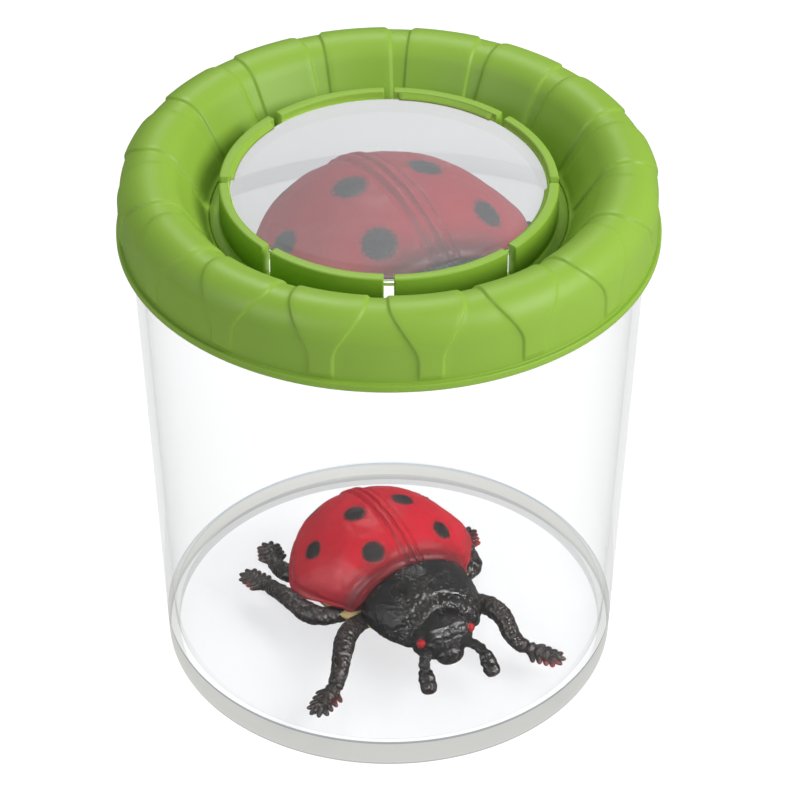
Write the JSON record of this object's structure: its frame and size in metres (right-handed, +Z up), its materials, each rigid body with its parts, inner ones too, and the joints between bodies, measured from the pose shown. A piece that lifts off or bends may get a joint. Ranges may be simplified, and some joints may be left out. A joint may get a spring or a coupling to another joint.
{
  "type": "bug catcher jar",
  "caption": "Clear tapered bug viewing cup with a green push-on lid that holds a magnifying lens in a slotted collar, and a loose toy beetle inside.",
  "frame": {"origin": "centre of the foot ring, on the table", "axes": "+Z up the jar's axis, the front of the jar towards -Y"},
  "size_m": [0.1, 0.1, 0.1088],
  "materials": {
    "clear_plastic": "clear moulded polystyrene",
    "green_plastic": "satin moulded plastic",
    "lens_plastic": "clear polished plastic",
    "red_vinyl": "painted vinyl",
    "black_vinyl": "painted vinyl",
    "tan_vinyl": "bare vinyl",
    "eye_red": "glossy paint"
  },
  "bodies": {
    "jar": {"jar_cup": "clear_plastic"},
    "lid": {"lid_ring": "green_plastic", "lens_collar": "green_plastic", "lens": "lens_plastic"},
    "beetle": {"beetle_wing_case_left": "red_vinyl", "beetle_wing_case_right": "red_vinyl", "beetle_pronotum": "black_vinyl", "beetle_belly": "tan_vinyl", "beetle_head": "black_vinyl", "beetle_eye_left": "eye_red", "beetle_eye_right": "eye_red", "beetle_antenna_left": "black_vinyl", "beetle_antenna_right": "black_vinyl", "beetle_leg_front_left": "black_vinyl", "beetle_leg_mid_left": "black_vinyl", "beetle_leg_rear_left": "black_vinyl", "beetle_leg_front_right": "black_vinyl", "beetle_leg_mid_right": "black_vinyl", "beetle_leg_rear_right": "black_vinyl"}
  },
  "joints": [
    {"name": "lid_lift", "type": "slide", "parent": "jar", "child": "lid", "axis": [0, 0, 1], "range_m": [0, 0.08]},
    {"name": "beetle_lift", "type": "slide", "parent": "jar", "child": "beetle", "axis": [0, 0, 1], "range_m": [0, 0.06]}
  ]
}
